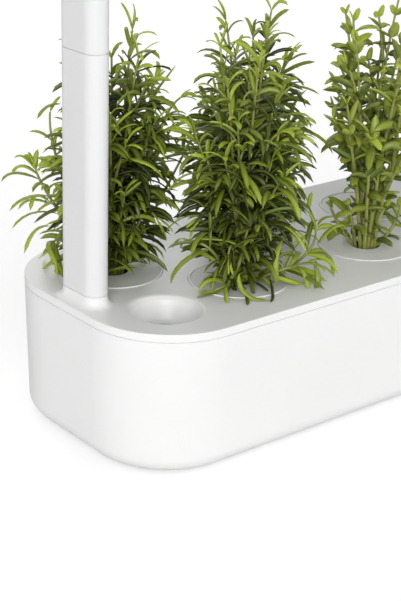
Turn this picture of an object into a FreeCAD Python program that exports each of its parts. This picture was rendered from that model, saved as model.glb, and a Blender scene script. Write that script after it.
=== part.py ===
import FreeCAD, Part
import math
import os
import Sketcher

# Countertop hydroponic garden: a water tank with a lift-off lid, nine plant cups in two staggered
# rows, a fill port with a float, and a grow lamp carried over the plants on two posts.
# Millimetres, +Z up, +X along the long side, origin on the table under the middle of the tank.

doc = FreeCAD.newDocument("hydroponic_garden")
sheet = doc.addObject("Spreadsheet::Sheet", "sizes")

# Driving dimensions: alias, millimetres (or degrees, or a count), what it is
SIZES = [
    ("garden_length", 610, "tank and lid, along X"),
    ("garden_width", 185, "tank and lid, along Y"),
    ("corner_radius", 62, "plan corners of tank and lid"),
    ("foot_height", 2, "rubber pads under the tank"),
    ("foot_radius", 9, "rubber pads"),
    ("foot_inset", 70, "pad centre from the tank's ends"),
    ("foot_reach", 48, "pad centre from the middle line"),
    ("foot_recess", 1, "pad into the tank's floor"),
    ("foot_gap", 0.3, "pad to its recess"),
    ("tank_height", 97.6, "tank from its floor to its rim"),
    ("tank_wall", 2.6, "tank side wall"),
    ("tank_floor", 3, "tank floor"),
    ("tank_draft", 1.5, "degrees the tank narrows towards the table"),
    ("tank_round", 14, "fillet round the foot of the tank"),
    ("seam_height", 0.6, "shadow gap under the lid, and at a post's foot"),
    ("seam_depth", 0.9, "shadow gap, into the wall"),
    ("lid_lip", 5.2, "lid edge that shows above the tank"),
    ("lid_plate", 4, "lid plate"),
    ("lid_round", 0.8, "fillet round the lid's top edge"),
    ("skirt_depth", 9, "skirt that drops inside the tank"),
    ("skirt_wall", 1.8, "skirt thickness"),
    ("skirt_gap", 0.5, "skirt to tank wall"),
    ("rear_cups", 5, "cups in the rear row"),
    ("front_cups", 4, "cups in the front row"),
    ("cup_inset", 61.4, "outermost cup's centre from the lid's end"),
    ("row_offset", 31.7, "row centre from the middle line"),
    ("cup_rim_radius", 34.8, "outside of the cup's bright ring"),
    ("cup_rim_width", 1.3, "ring wall"),
    ("cup_rim_proud", 0.6, "ring above the lid"),
    ("cup_flange", 1, "flange that hangs the cup in the lid"),
    ("cup_radius", 31.4, "cup wall outside, under the flange"),
    ("cup_foot_radius", 25, "cup wall outside, at its floor"),
    ("cup_depth", 66, "lid top to cup floor"),
    ("cup_wall", 1.5, "cup wall and floor"),
    ("cup_gap", 0.4, "cup to lid"),
    ("slot_width", 5, "water slots in the cup"),
    ("slot_height", 26, "water slots in the cup"),
    ("slot_rise", 4, "water slots above the cup's floor"),
    ("slot_count", 6, "water slots round the cup"),
    ("rib_wall", 2, "cross ribs under the lid"),
    ("rib_clear", 3, "cross ribs from the cup rings"),
    ("pod_plate", 1.6, "disc that closes the cup"),
    ("pod_gap", 0.3, "disc to ring"),
    ("pod_hole_radius", 10.9, "hole the stems grow through"),
    ("pod_radius", 22, "pod basket, at the disc"),
    ("pod_foot_radius", 18, "pod basket, at its floor"),
    ("pod_depth", 50, "lid top to pod floor"),
    ("pod_wall", 1.3, "pod basket"),
    ("soil_drop", 4, "soil below the disc's top"),
    ("soil_gap", 0.3, "soil to the basket's wall"),
    ("wick_radius", 4, "wick tail under the soil"),
    ("wick_gap", 0.8, "wick to the holes it passes"),
    ("wick_clear", 5, "wick end above the tank floor"),
    ("port_inset_x", 49, "port centre from the lid's end"),
    ("port_inset_y", 47.5, "port centre from the lid's long edge"),
    ("port_radius", 26.4, "mouth of the fill port"),
    ("port_lip", 5, "round lip of the mouth"),
    ("throat_radius", 16.8, "throat of the fill port"),
    ("port_depth", 17, "lid top to the foot of the funnel"),
    ("port_wall", 1.8, "funnel wall"),
    ("port_cone", 4, "end of the cone above the funnel's foot"),
    ("cage_radius", 15.2, "float cage, inside"),
    ("cage_wall", 1.4, "float cage"),
    ("cage_floor", 2, "float cage floor"),
    ("cage_clear", 6, "cage above the tank floor"),
    ("cage_head", 3, "wider head of the cage, under the funnel"),
    ("cage_drain", 5, "hole in the cage floor, radius"),
    ("cage_slot_width", 5, "slots in the cage"),
    ("cage_slot_inset", 6, "slots from the cage's floor and head"),
    ("cage_slot_count", 4, "slots round the cage"),
    ("float_radius", 14.2, "float"),
    ("float_height", 22, "float"),
    ("float_bevel", 2, "float's lower edge"),
    ("float_dome", 5, "float's domed head"),
    ("post_inset", 16.3, "post centre from the lid's end"),
    ("post_length", 38.4, "post section, along Y"),
    ("post_thick", 17.2, "post section, along X"),
    ("post_wall", 2.2, "post wall"),
    ("collar_height", 7, "collar that carries a post"),
    ("collar_round", 5.2, "cove between collar and lid"),
    ("tongue_length", 22, "tongue at a post's foot"),
    ("tongue_wall", 1.6, "tongue wall"),
    ("tongue_gap", 0.3, "tongue to socket, all round"),
    ("tongue_clear", 1, "tongue's end to the socket's floor"),
    ("tongue_neck", 6, "solid neck where a post's wall steps in to its tongue"),
    ("socket_floor", 2.4, "floor of a lid socket"),
    ("post_height", 160, "lower post, collar to joint"),
    ("extension_height", 100, "extension, joint to lamp"),
    ("inlet_height", 29, "power inlet above the collar"),
    ("inlet_radius", 4.8, "power inlet, outside"),
    ("inlet_bore", 2.85, "power inlet, plug hole"),
    ("inlet_pin", 1, "power inlet, centre pin"),
    ("inlet_pin_sink", 1.5, "power inlet, pin's end below the mouth"),
    ("inlet_pin_gap", 0.3, "power inlet, pin to the hole it passes"),
    ("inlet_length", 11, "power inlet, body"),
    ("inlet_bore_depth", 9.5, "power inlet, plug hole"),
    ("inlet_proud", 0.4, "power inlet beyond the post"),
    ("strip_width", 6, "contact strips in the left post"),
    ("strip_plate", 1.2, "contact strips in the left post"),
    ("strip_clear", 1.5, "contact strip to the next tongue"),
    ("lamp_width", 96, "lamp, along Y"),
    ("lamp_height", 24, "lamp"),
    ("lamp_wall", 2.4, "lamp shell, sides"),
    ("lamp_roof", 4.6, "lamp shell, top"),
    ("lamp_round", 9, "fillet round the lamp's top"),
    ("lens_border", 12, "lamp edge to lens"),
    ("lens_plate", 2, "lens"),
    ("lens_gap", 0.3, "lens to frame"),
    ("lens_ledge", 2.6, "lens flange over the frame"),
    ("lens_sink", 0.6, "lens above the lamp's underside"),
    ("frame_plate", 3, "lamp frame round the lens"),
    ("board_length", 500, "LED board"),
    ("board_width", 64, "LED board"),
    ("board_plate", 1.6, "LED board"),
    ("board_rise", 8, "frame to LED board"),
    ("spine_width", 12, "rib that carries the LED board"),
    ("spine_inset", 20, "rib short of the board's ends"),
    ("driver_length", 70, "lamp driver and timer board"),
    ("driver_width", 20, "lamp driver and timer board"),
    ("driver_height", 4, "lamp driver and timer board"),
    ("led_pitch", 34, "LED to LED along the lamp"),
    ("led_row_pitch", 21, "LED row to LED row"),
    ("led_rows", 3, "rows of LEDs"),
    ("led_columns", 14, "LEDs in a row"),
    ("led_size", 5, "LED package"),
    ("led_height", 1.2, "LED package"),
    ("screw_head_radius", 2.6, "lamp screws"),
    ("screw_head_height", 1.6, "lamp screws"),
    ("screw_radius", 1.4, "lamp screws, shank"),
    ("screw_length", 9, "lamp screws, under the head"),
    ("screw_gap", 0.1, "lamp screws to their holes"),
    ("screw_inset", 5.9, "lamp screws from the lamp's side"),
    ("boss_radius", 3.2, "lamp screw bosses"),
    ("plant_height", 176, "plant above the lid"),
    ("plant_reach", 38, "bush radius"),
    ("plant_neck", 8, "crown of stems in the pod's hole, radius"),
]


class Dim:
    """A size that keeps its number beside the sheet expression that gives it."""

    def __init__(self, number, text=None):
        self.number = float(number)
        self.text = text or repr(float(number))

    def __add__(self, other):
        other = as_dim(other)
        return Dim(self.number + other.number, f"({self.text} + {other.text})")

    def __sub__(self, other):
        other = as_dim(other)
        return Dim(self.number - other.number, f"({self.text} - {other.text})")

    def __mul__(self, other):
        other = as_dim(other)
        return Dim(self.number * other.number, f"({self.text} * {other.text})")

    def __truediv__(self, other):
        other = as_dim(other)
        return Dim(self.number / other.number, f"({self.text} / {other.text})")

    def __neg__(self):
        return self * -1

    def count(self):
        """The size as a whole number."""
        return int(round(self.number))


def as_dim(value):
    """The value as a Dim, whether it is one already or a plain number."""
    return value if isinstance(value, Dim) else Dim(value)


def tangent(angle):
    """The tangent of a size in degrees."""
    return Dim(math.tan(math.radians(angle.number)), f"tan({angle.text})")


def fill_sheet():
    """Writes the driving dimensions to the sheet and returns them as Dims by alias."""
    found = {}
    for row, (alias, number, note) in enumerate(SIZES, start=1):
        sheet.set(f"A{row}", alias)
        sheet.set(f"B{row}", str(number))
        sheet.set(f"C{row}", note)
        sheet.setAlias(f"B{row}", alias)
        found[alias] = Dim(number, f"sizes.{alias}")
    doc.recompute()
    return found


D = fill_sheet()

# Levels and places that several pieces share
tank_foot = D["foot_height"]
tank_top = tank_foot + D["tank_height"]
lid_top = tank_top + D["lid_lip"]
collar_top = lid_top + D["collar_height"]
joint_level = collar_top + D["post_height"]
lamp_foot = joint_level + D["extension_height"]
lamp_top = lamp_foot + D["lamp_height"]
board_level = lamp_foot + D["frame_plate"] + D["board_rise"]
post_x = D["garden_length"] / 2 - D["post_inset"]
port_x = -(D["garden_length"] / 2 - D["port_inset_x"])
port_y = -(D["garden_width"] / 2 - D["port_inset_y"])
tank_narrowing = D["tank_height"] * tangent(D["tank_draft"]) * 2
cup_pitch = (D["garden_length"] - D["cup_inset"] * 2) / (D["rear_cups"] - 1)


# The bush's outline: share of its height, share of its reach
PLANT_SWELL = ((0.06, 0.62), (0.14, 0.92), (0.32, 1), (0.55, 0.96), (0.76, 0.74), (0.92, 0.44), (1, 0.1))
PLANT_SIDES = 12


def new_body(label):
    """An empty body whose label names its file."""
    body = doc.addObject("PartDesign::Body", label)
    body.Label = label
    return body


def origin_plane(body, role):
    """One of the body's own origin planes."""
    return next(f for f in body.Origin.OriginFeatures if f.Role == role)


def new_sketch(body, name, level=None, role="XY_Plane", at=(None, None)):
    """A sketch on an origin plane, raised to a level and moved to a place in that plane."""
    sketch = body.newObject("Sketcher::SketchObject", name)
    sketch.AttachmentSupport = (origin_plane(body, role), [""])
    sketch.MapMode = "FlatFace"
    for axis, dim in zip("xyz", (*at, level)):
        if dim is not None:
            sketch.setExpression(f"AttachmentOffset.Base.{axis}", as_dim(dim).text)
    return sketch


def bind(sketch, index, name, dim):
    """Names a constraint and binds it to the sheet."""
    sketch.renameConstraint(index, name)
    sketch.setExpression(f"Constraints.{name}", dim.text)


def closed_outline(sketch, corners, tag="edge"):
    """A closed outline of straight edges through corners, each a pair of sizes."""
    corners = [(as_dim(x), as_dim(y)) for x, y in corners]
    count = len(corners)
    vectors = [FreeCAD.Vector(x.number, y.number, 0) for x, y in corners]
    first = sketch.GeometryCount
    lines = [Part.LineSegment(vectors[i], vectors[(i + 1) % count]) for i in range(count)]
    sketch.addGeometry(lines, False)
    for i in range(count):
        after = first + (i + 1) % count
        sketch.addConstraint(Sketcher.Constraint("Coincident", first + i, 2, after, 1))
    for i, (x, y) in enumerate(corners):
        for kind, dim in (("DistanceX", x), ("DistanceY", y)):
            made = sketch.addConstraint(Sketcher.Constraint(kind, -1, 1, first + i, 1, dim.number))
            bind(sketch, made, f"{tag}{i}{kind[-1]}", dim)


def circle(sketch, radius, x=0, y=0, tag="circle"):
    """A circle whose radius and centre follow the sheet."""
    radius, x, y = as_dim(radius), as_dim(x), as_dim(y)
    shape = Part.Circle(FreeCAD.Vector(x.number, y.number, 0), FreeCAD.Vector(0, 0, 1), radius.number)
    made = sketch.addGeometry(shape, False)
    index = sketch.addConstraint(Sketcher.Constraint("Radius", made, radius.number))
    bind(sketch, index, f"{tag}R", radius)
    for kind, dim in (("DistanceX", x), ("DistanceY", y)):
        index = sketch.addConstraint(Sketcher.Constraint(kind, -1, 1, made, 3, dim.number))
        bind(sketch, index, f"{tag}{kind[-1]}", dim)


def rounded_rectangle(sketch, length, width, radius, tag="plate"):
    """A rectangle with round corners about the sketch's origin."""
    length, width, radius = as_dim(length), as_dim(width), as_dim(radius)
    hx, hy, r = length.number / 2, width.number / 2, radius.number
    first = sketch.GeometryCount
    vec = FreeCAD.Vector
    sketch.addGeometry([
        Part.LineSegment(vec(-hx + r, -hy, 0), vec(hx - r, -hy, 0)),
        Part.LineSegment(vec(hx, -hy + r, 0), vec(hx, hy - r, 0)),
        Part.LineSegment(vec(hx - r, hy, 0), vec(-hx + r, hy, 0)),
        Part.LineSegment(vec(-hx, hy - r, 0), vec(-hx, -hy + r, 0)),
    ], False)
    for sx, sy, start in ((1, -1, 270), (1, 1, 0), (-1, 1, 90), (-1, -1, 180)):
        ring = Part.Circle(vec(sx * (hx - r), sy * (hy - r), 0), vec(0, 0, 1), r)
        arc = Part.ArcOfCircle(ring, math.radians(start), math.radians(start + 90))
        sketch.addGeometry(arc, False)
    for i in range(4):
        line, arc, after = first + i, first + 4 + i, first + (i + 1) % 4
        sketch.addConstraint(Sketcher.Constraint("Tangent", line, 2, arc, 1))
        sketch.addConstraint(Sketcher.Constraint("Tangent", arc, 2, after, 1))
    sketch.addConstraint(Sketcher.Constraint("Horizontal", first))
    sketch.addConstraint(Sketcher.Constraint("Vertical", first + 1))
    for i in (5, 6, 7):
        sketch.addConstraint(Sketcher.Constraint("Equal", first + 4, first + i))
    sketch.addConstraint(Sketcher.Constraint("Symmetric", first + 4, 3, first + 6, 3, -1, 1))
    index = sketch.addConstraint(Sketcher.Constraint("DistanceX", first + 3, 1, first + 1, 1, 2 * hx))
    bind(sketch, index, f"{tag}Length", length)
    index = sketch.addConstraint(Sketcher.Constraint("DistanceY", first, 1, first + 2, 1, 2 * hy))
    bind(sketch, index, f"{tag}Width", width)
    index = sketch.addConstraint(Sketcher.Constraint("Radius", first + 4, r))
    bind(sketch, index, f"{tag}Radius", radius)


def stadium(sketch, length, thick, tag="post"):
    """A post's section about the sketch's origin: round ends along Y, flat sides along X."""
    length, thick = as_dim(length), as_dim(thick)
    r, reach = thick.number / 2, (length.number - thick.number) / 2
    vec = FreeCAD.Vector
    first = sketch.GeometryCount
    sketch.addGeometry([
        Part.LineSegment(vec(r, -reach, 0), vec(r, reach, 0)),
        Part.LineSegment(vec(-r, reach, 0), vec(-r, -reach, 0)),
        Part.ArcOfCircle(Part.Circle(vec(0, reach, 0), vec(0, 0, 1), r), 0, math.pi),
        Part.ArcOfCircle(Part.Circle(vec(0, -reach, 0), vec(0, 0, 1), r), math.pi, 2 * math.pi),
    ], False)
    right, left, top, foot = range(first, first + 4)
    for a, b in ((right, top), (top, left), (left, foot), (foot, right)):
        sketch.addConstraint(Sketcher.Constraint("Tangent", a, 2, b, 1))
    sketch.addConstraint(Sketcher.Constraint("Vertical", right))
    sketch.addConstraint(Sketcher.Constraint("Symmetric", top, 3, foot, 3, -1, 1))
    index = sketch.addConstraint(Sketcher.Constraint("Radius", top, r))
    bind(sketch, index, f"{tag}Radius", thick / 2)
    index = sketch.addConstraint(Sketcher.Constraint("DistanceY", foot, 3, top, 3, 2 * reach))
    bind(sketch, index, f"{tag}Reach", length - thick)


def pad(body, sketch, height, down=False, taper=None):
    """Material from the sketch, upwards unless down, narrowing or widening by taper degrees."""
    feature = body.newObject("PartDesign::Pad", sketch.Name + "_pad")
    feature.Profile = sketch
    feature.setExpression("Length", as_dim(height).text)
    feature.Reversed = down
    if taper is not None:
        feature.setExpression("TaperAngle", taper.text)
    return feature


def pocket(body, sketch, depth, up=False, taper=None):
    """A cut from the sketch, downwards unless up, that must remove material."""
    before = solid_volume(body)
    feature = body.newObject("PartDesign::Pocket", sketch.Name + "_pocket")
    feature.Profile = sketch
    feature.setExpression("Length", as_dim(depth).text)
    feature.Reversed = up
    if taper is not None:
        feature.setExpression("TaperAngle", taper.text)
    check_smaller(body, feature, before)
    return feature


def revolve(body, sketch):
    """Material turned about the sketch's vertical axis."""
    feature = body.newObject("PartDesign::Revolution", sketch.Name + "_turned")
    feature.Profile = sketch
    feature.ReferenceAxis = (sketch, ["V_Axis"])
    feature.Angle = 360
    return feature


def groove(body, sketch):
    """A cut turned about the sketch's vertical axis, that must remove material."""
    before = solid_volume(body)
    feature = body.newObject("PartDesign::Groove", sketch.Name + "_groove")
    feature.Profile = sketch
    feature.ReferenceAxis = (sketch, ["V_Axis"])
    feature.Angle = 360
    check_smaller(body, feature, before)
    return feature


def solid_volume(body):
    """The body's volume so far."""
    doc.recompute()
    return body.Shape.Volume


def check_smaller(body, feature, before):
    """Stops the build when a cut removed nothing."""
    doc.recompute()
    if not body.Shape.Volume < before - 0.01:
        raise RuntimeError(f"{feature.Name} cut nothing")


def linear_pattern(body, feature, axis, length, count):
    """Copies of a feature in a row along a line of the body's own origin."""
    pattern = body.newObject("PartDesign::LinearPattern", feature.Name + "_row")
    pattern.Originals = [feature]
    line = next(f for f in body.Origin.OriginFeatures if f.Role == axis)
    pattern.Direction = (line, [""])
    pattern.setExpression("Length", as_dim(length).text)
    pattern.setExpression("Occurrences", as_dim(count).text)
    body.Tip = pattern
    return pattern


def polar_pattern(body, feature, count):
    """Copies of a feature evenly round the body's own vertical axis."""
    pattern = body.newObject("PartDesign::PolarPattern", feature.Name + "_ring")
    pattern.Originals = [feature]
    line = next(f for f in body.Origin.OriginFeatures if f.Role == "Z_Axis")
    pattern.Axis = (line, [""])
    pattern.Angle = 360
    pattern.setExpression("Occurrences", count.text)
    body.Tip = pattern
    return pattern


def mirror_x(body, feature):
    """The same feature at the other end of the body."""
    mirror = body.newObject("PartDesign::Mirrored", feature.Name + "_mirror")
    mirror.Originals = [feature]
    mirror.MirrorPlane = (origin_plane(body, "YZ_Plane"), [""])
    body.Tip = mirror
    return mirror


def round_edges(body, base, picks, radius, kind="Fillet"):
    """Fillets or chamfers the edges of the base feature that picks accepts."""
    doc.recompute()
    names = [f"Edge{i}" for i, edge in enumerate(base.Shape.Edges, start=1) if picks(edge)]
    if not names:
        raise RuntimeError(f"no edge of {base.Name} to round")
    feature = body.newObject(f"PartDesign::{kind}", f"{base.Name}_{kind.lower()}")
    feature.Base = (base, names)
    feature.setExpression("Radius" if kind == "Fillet" else "Size", as_dim(radius).text)
    doc.recompute()
    return feature


def flat_at(edge, level, tolerance=0.01):
    """Whether the whole edge lies at a level."""
    box = edge.BoundBox
    return abs(box.ZMin - level) < tolerance and abs(box.ZMax - level) < tolerance


def place(body, x=0, y=0, z=0):
    """Binds the body's place to the sheet."""
    for axis, dim in zip("xyz", (x, y, z)):
        body.setExpression(f"Placement.Base.{axis}", as_dim(dim).text)


def water_tank():
    """The open tray: drafted walls, a round foot, a shadow gap at the rim and recesses for its pads."""
    body = new_body("water_tank")
    outside = new_sketch(body, "tank_outside", tank_foot)
    rounded_rectangle(outside, D["garden_length"] - tank_narrowing, D["garden_width"] - tank_narrowing,
                      D["corner_radius"] - tank_narrowing / 2)
    pad(body, outside, D["tank_height"], taper=D["tank_draft"])
    inside = new_sketch(body, "tank_inside", tank_top)
    inset = D["tank_wall"] * 2
    rounded_rectangle(inside, D["garden_length"] - inset, D["garden_width"] - inset,
                      D["corner_radius"] - D["tank_wall"])
    hollow = pocket(body, inside, D["tank_height"] - D["tank_floor"], taper=-D["tank_draft"])
    floor_level = (tank_foot + D["tank_floor"]).number
    shell = round_edges(body, hollow, lambda e: flat_at(e, floor_level), D["tank_round"] - D["tank_wall"])
    round_edges(body, shell, lambda e: flat_at(e, tank_foot.number), D["tank_round"])
    seam = new_sketch(body, "shadow_gap", tank_top)
    rounded_rectangle(seam, D["garden_length"] + D["seam_depth"] * 2, D["garden_width"] + D["seam_depth"] * 2,
                      D["corner_radius"] + D["seam_depth"], tag="outer")
    rounded_rectangle(seam, D["garden_length"] - D["seam_depth"] * 2, D["garden_width"] - D["seam_depth"] * 2,
                      D["corner_radius"] - D["seam_depth"], tag="inner")
    pocket(body, seam, D["seam_height"])
    recess = new_sketch(body, "foot_recesses", tank_foot)
    foot_circles(recess, D["foot_radius"] + D["foot_gap"])
    pocket(body, recess, D["foot_recess"], up=True)


def foot_circles(sketch, radius):
    """The four places of the rubber pads."""
    x = D["garden_length"] / 2 - D["foot_inset"]
    for i, (sx, sy) in enumerate(((1, 1), (-1, 1), (-1, -1), (1, -1))):
        circle(sketch, radius, x * sx, D["foot_reach"] * sy, tag=f"pad{i}")


def rubber_feet():
    """Four round pads set in recesses under the tank."""
    body = new_body("rubber_feet")
    sketch = new_sketch(body, "pads")
    foot_circles(sketch, D["foot_radius"])
    pad(body, sketch, D["foot_height"] + D["foot_recess"])


def cup_places():
    """Each cup's number and centre: the rear row first, then the front row."""
    number = 1
    for count, y in ((D["rear_cups"], D["row_offset"]), (D["front_cups"], -D["row_offset"])):
        for i in range(count.count()):
            yield number, row_start(count) + cup_pitch * i, y
            number += 1


def row_start(count):
    """Where a centred row of a count of cups, or of ribs at their pitch, starts."""
    return -cup_pitch * (count - 1) / 2


def lid():
    """The lift-off lid: plate, lip, skirt, cup seats, fill funnel and the two post collars."""
    body = new_body("lid")
    lip_wall = D["tank_wall"] + D["skirt_gap"]
    slab = new_sketch(body, "lid_slab", tank_top)
    rounded_rectangle(slab, D["garden_length"], D["garden_width"], D["corner_radius"])
    top = pad(body, slab, D["lid_lip"])
    round_edges(body, top, lambda e: flat_at(e, lid_top.number), D["lid_round"])
    skirt = new_sketch(body, "lid_skirt", tank_top)
    rounded_rectangle(skirt, D["garden_length"] - lip_wall * 2, D["garden_width"] - lip_wall * 2,
                      D["corner_radius"] - lip_wall, tag="outer")
    pad(body, skirt, D["skirt_depth"], down=True)
    hollow = new_sketch(body, "lid_hollow", tank_top - D["skirt_depth"])
    inner = lip_wall + D["skirt_wall"]
    rounded_rectangle(hollow, D["garden_length"] - inner * 2, D["garden_width"] - inner * 2,
                      D["corner_radius"] - inner)
    pocket(body, hollow, D["skirt_depth"] + D["lid_lip"] - D["lid_plate"], up=True)
    lid_funnel(body)
    lid_sockets(body)
    lid_cup_seats(body)
    lid_ribs(body)


def lid_funnel(body):
    """The funnel's wall, then its hollow, turned about the port's own axis."""
    wall_radius = D["throat_radius"] + D["port_wall"]
    mouth = D["port_radius"]
    under = lid_top - D["lid_plate"]
    foot = lid_top - D["port_depth"]
    wall = new_sketch(body, "funnel_wall", -port_y, "XZ_Plane", (port_x, None))
    closed_outline(wall, [
        (0, under + D["port_wall"] / 2), (mouth + D["port_wall"], under + D["port_wall"] / 2),
        (mouth + D["port_wall"], under - D["port_wall"]), (wall_radius, foot), (0, foot)])
    revolve(body, wall)
    cut = new_sketch(body, "funnel_hollow", -port_y, "XZ_Plane", (port_x, None))
    funnel_profile(cut, foot)
    groove(body, cut)


def funnel_profile(sketch, foot):
    """The funnel's hollow: a round lip that bends down into a cone, then the throat."""
    lip, throat, cone = D["port_lip"], D["throat_radius"], D["port_cone"]
    above, below = lid_top + lip, foot - lip
    closed_outline(sketch, [
        (0, above), (D["port_radius"], above), (D["port_radius"], lid_top),
        (D["port_radius"] - lip * 0.38, lid_top - lip * 0.12),
        (D["port_radius"] - lip * 0.78, lid_top - lip * 0.55),
        (D["port_radius"] - lip, lid_top - lip * 1.2),
        (throat + cone * 0.2, foot + cone), (throat, foot + cone / 2), (throat, below), (0, below)])


def lid_sockets(body):
    """A collar with a coved foot and a deep socket for each post's tongue."""
    collar = new_sketch(body, "collar", lid_top, at=(post_x, None))
    stadium(collar, D["post_length"], D["post_thick"])
    raised = pad(body, collar, D["collar_height"])
    mirror_x(body, raised)
    boss = new_sketch(body, "socket_boss", lid_top - D["lid_plate"], at=(post_x, None))
    stadium(boss, D["post_length"], D["post_thick"])
    socket_depth = D["tongue_length"] + D["tongue_clear"]
    depth = socket_depth + D["socket_floor"] - D["collar_height"] - D["lid_plate"]
    lowered = pad(body, boss, depth, down=True)
    both = mirror_x(body, lowered)
    x, reach = post_x.number, D["post_length"].number / 2 + 0.5

    def at_collar_foot(edge):
        box = edge.BoundBox
        near = x - reach < abs(box.Center.x) < x + reach and abs(box.YMax) < reach
        small = box.XLength < D["post_thick"].number + 1
        return flat_at(edge, lid_top.number) and near and small and abs(box.YMin) < reach

    round_edges(body, both, at_collar_foot, D["collar_round"])
    socket = new_sketch(body, "socket", collar_top, at=(post_x, None))
    stadium(socket, D["post_length"] - D["post_wall"] * 2, D["post_thick"] - D["post_wall"] * 2)
    mirror_x(body, pocket(body, socket, socket_depth))


def lid_cup_seats(body):
    """A stepped hole for each cup: a recess for its flange, then the way through."""
    recess_depth = D["pod_plate"] + D["cup_flange"]
    rows = (("rear", D["rear_cups"], D["row_offset"]), ("front", D["front_cups"], -D["row_offset"]))
    for name, count, y in rows:
        first_x, run = row_start(count), cup_pitch * (count - 1)
        recess = new_sketch(body, f"{name}_recess", lid_top)
        circle(recess, D["cup_rim_radius"] + D["cup_gap"], first_x, y)
        linear_pattern(body, pocket(body, recess, recess_depth), "X_Axis", run, count)
        way = new_sketch(body, f"{name}_way", lid_top)
        circle(way, D["cup_radius"] + D["cup_gap"], first_x, y)
        linear_pattern(body, pocket(body, way, D["lid_plate"] * 2), "X_Axis", run, count)


def lid_ribs(body):
    """Short ribs from the plate's rim inwards, each between two cups of its row."""
    half = D["rib_wall"] / 2
    rib_reach = D["garden_width"] / 2 - D["tank_wall"] - D["skirt_gap"] - D["skirt_wall"] / 2
    edge = D["row_offset"] + D["cup_rim_radius"] + D["rib_clear"]
    rows = (("rear_rib", D["rear_cups"] - 1, edge, rib_reach),
            ("front_rib", D["front_cups"] - 1, -rib_reach, -edge))
    for name, count, low, high in rows:
        first_x = row_start(count)
        rib = new_sketch(body, name, lid_top - D["lid_plate"])
        closed_outline(rib, [
            (first_x - half, low), (first_x + half, low), (first_x + half, high), (first_x - half, high)])
        made = pad(body, rib, D["skirt_depth"] + D["lid_lip"] - D["lid_plate"] * 2, down=True)
        linear_pattern(body, made, "X_Axis", cup_pitch * (count - 1), count)


def float_cage():
    """The slotted tube under the fill port that guides the float."""
    body = new_body("float_cage")
    place(body, port_x, port_y)
    foot = tank_foot + D["tank_floor"] + D["cage_clear"]
    top = lid_top - D["port_depth"]
    inside, outside = D["cage_radius"], D["cage_radius"] + D["cage_wall"]
    head = D["throat_radius"] + D["port_wall"]
    profile = new_sketch(body, "cage_profile", role="XZ_Plane")
    drain, head_foot = D["cage_drain"], top - D["cage_head"]
    closed_outline(profile, [
        (drain, foot), (outside, foot), (outside, head_foot), (head, head_foot), (head, top),
        (inside, top), (inside, foot + D["cage_floor"]), (drain, foot + D["cage_floor"])])
    revolve(body, profile)
    slot = new_sketch(body, "cage_slot", role="XZ_Plane")
    half = D["cage_slot_width"] / 2
    low, high = foot + D["cage_floor"] + D["cage_slot_inset"], head_foot - D["cage_slot_inset"]
    closed_outline(slot, [(-half, low), (half, low), (half, high), (-half, high)])
    polar_pattern(body, pocket(body, slot, outside * 2), D["cage_slot_count"])


def water_float():
    """The float: a sealed capsule with a domed head, resting on the cage's floor."""
    body = new_body("float")
    place(body, port_x, port_y)
    foot = tank_foot + D["tank_floor"] + D["cage_clear"] + D["cage_floor"]
    top = foot + D["float_height"]
    radius, bevel, dome = D["float_radius"], D["float_bevel"], D["float_dome"]
    profile = new_sketch(body, "float_profile", role="XZ_Plane")
    closed_outline(profile, [
        (0, foot), (radius - bevel, foot), (radius, foot + bevel), (radius, top - dome),
        (radius * 0.86, top - dome * 0.44), (radius * 0.55, top - dome * 0.12), (0, top)])
    revolve(body, profile)


def cup(number, x, y):
    """The cup: bright ring, hanging flange, tapered wall, water slots and a drained floor."""
    body = new_body(f"cup_{number}")
    place(body, x, y)
    ledge = lid_top - D["pod_plate"] - D["cup_flange"]
    floor = lid_top - D["cup_depth"]
    ring = D["cup_rim_radius"]
    wall = D["cup_wall"]
    drain = D["wick_radius"] + D["wick_gap"]
    profile = new_sketch(body, "cup_profile", role="XZ_Plane")
    closed_outline(profile, [
        (drain, floor), (D["cup_foot_radius"], floor), (D["cup_radius"], ledge), (ring, ledge),
        (ring, lid_top + D["cup_rim_proud"]), (ring - D["cup_rim_width"], lid_top + D["cup_rim_proud"]),
        (ring - D["cup_rim_width"], ledge + D["cup_flange"]),
        (D["cup_radius"] - wall, ledge + D["cup_flange"]),
        (D["cup_foot_radius"] - wall, floor + wall), (drain, floor + wall)])
    revolve(body, profile)
    slot = new_sketch(body, "cup_slot", role="XZ_Plane")
    half = D["slot_width"] / 2
    low = floor + D["slot_rise"]
    high = low + D["slot_height"]
    closed_outline(slot, [(-half, low), (half, low), (half, high), (-half, high)])
    polar_pattern(body, pocket(body, slot, D["cup_radius"]), D["slot_count"])


def pod(number, x, y):
    """The pod: a disc with the stems' hole, and a basket for the soil under it."""
    body = new_body(f"pod_{number}")
    place(body, x, y)
    under = lid_top - D["pod_plate"]
    floor = lid_top - D["pod_depth"]
    wall = D["pod_wall"]
    drain = D["wick_radius"] + D["wick_gap"]
    profile = new_sketch(body, "pod_profile", role="XZ_Plane")
    closed_outline(profile, [
        (D["pod_hole_radius"], lid_top), (D["pod_hole_radius"], under), (D["pod_radius"] - wall, under),
        (D["pod_foot_radius"] - wall, floor + wall), (drain, floor + wall), (drain, floor),
        (D["pod_foot_radius"], floor), (D["pod_radius"], under),
        (D["cup_rim_radius"] - D["cup_rim_width"] - D["pod_gap"], under),
        (D["cup_rim_radius"] - D["cup_rim_width"] - D["pod_gap"], lid_top)])
    revolve(body, profile)


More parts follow.
